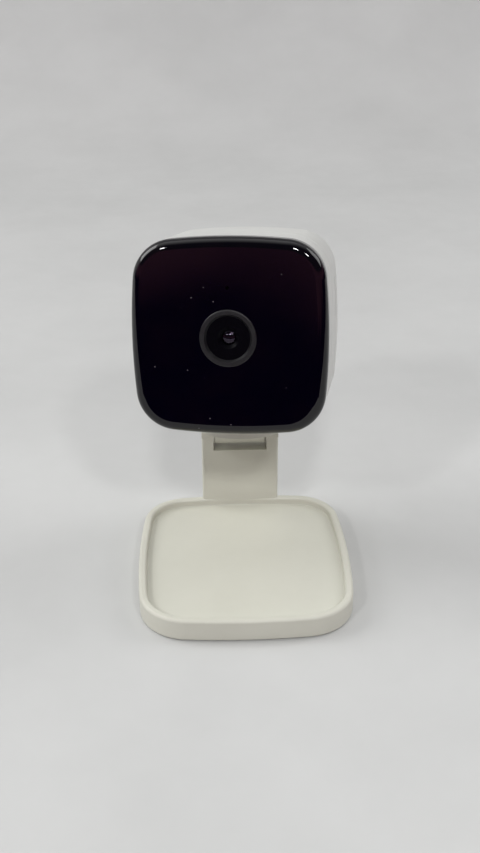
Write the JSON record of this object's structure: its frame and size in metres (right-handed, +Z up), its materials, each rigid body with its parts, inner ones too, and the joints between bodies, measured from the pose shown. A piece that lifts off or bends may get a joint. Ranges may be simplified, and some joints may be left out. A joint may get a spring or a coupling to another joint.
{
  "type": "security camera",
  "caption": "Compact indoor camera with a square glossy-fronted head on a swivel bracket, hinged to a short arm at the back of a shallow tray base.",
  "frame": {"origin": "centre of the tray's resting face, on the surface it stands on", "axes": "+X to the camera's left-to-right as seen from the front, +Y to the back, +Z up; the lens looks roughly along -Y"},
  "size_m": [0.0668, 0.0904, 0.1088],
  "materials": {
    "white_plastic": "satin",
    "grey_plastic": "satin",
    "black_gloss": "polished",
    "black_rubber": "matte",
    "steel": "satin",
    "plated_steel": "satin",
    "nylon": "satin",
    "foam": "matte",
    "dark_metal": "satin",
    "black_plastic": "satin",
    "lens_glass": "polished",
    "filter_glass": "polished",
    "circuit_board": "satin",
    "clear_resin": "polished",
    "bare_aluminium": "satin",
    "ribbon_film": "satin"
  },
  "bodies": {
    "stand": {"base_tray": "white_plastic", "base_cover": "grey_plastic", "foot_pad": "black_rubber", "ballast_plate": "steel", "arm": "white_plastic", "arm_screws": "steel", "hinge_pin": "steel", "hinge_washers": "nylon", "hinge_caps": "white_plastic"},
    "neck": {"swivel_bracket": "white_plastic", "swivel_washer": "nylon", "swivel_retainer": "steel", "swivel_screw": "steel"},
    "head": {"front_cap": "black_gloss", "cap_tape": "foam", "front_housing": "white_plastic", "rear_cover": "white_plastic", "lens_bezel": "dark_metal", "lens_barrel": "black_plastic", "lens_front_element": "lens_glass", "lens_rear_element": "lens_glass", "lens_holder": "black_plastic", "ir_cut_filter": "filter_glass", "image_sensor": "black_plastic", "sensor_board": "circuit_board", "sensor_board_screws": "steel", "led_board": "circuit_board", "led_board_screws": "steel", "infrared_leds": "clear_resin", "light_sensor": "black_plastic", "microphone": "plated_steel", "microphone_boot": "black_rubber", "main_board": "circuit_board", "main_board_screws": "steel", "processor": "black_plastic", "shield_can": "plated_steel", "thermal_pad": "foam", "heat_sink": "bare_aluminium", "ribbon_connectors": "black_plastic", "ribbon_cable": "ribbon_film", "card_socket": "plated_steel", "wifi_antenna": "circuit_board", "io_board": "circuit_board", "io_header": "black_plastic", "usb_socket": "plated_steel", "reset_switch": "black_plastic", "status_led": "clear_resin", "light_pipe": "clear_resin", "speaker": "black_plastic", "speaker_gasket": "foam", "housing_screws": "steel"},
    "reset_button": {"reset_button": "grey_plastic"}
  },
  "joints": [
    {"name": "head_tilt", "type": "hinge", "parent": "stand", "child": "neck", "pos_m": [0, 0.0365, 0.0312], "axis": [1, 0, 0], "range_deg": [-46, 44]},
    {"name": "head_swivel", "type": "hinge", "parent": "neck", "child": "head", "pos_m": [0, 0.01782, 0.0472], "axis": [0, 0.2419, 0.9703], "range_deg": [-160, 180]},
    {"name": "reset_press", "type": "slide", "parent": "head", "child": "reset_button", "axis": [-0.1822, -0.954, 0.2379], "range_m": [0, 0.0008], "stiffness_N_per_m": 1200, "springref_m": -0.0004}
  ]
}
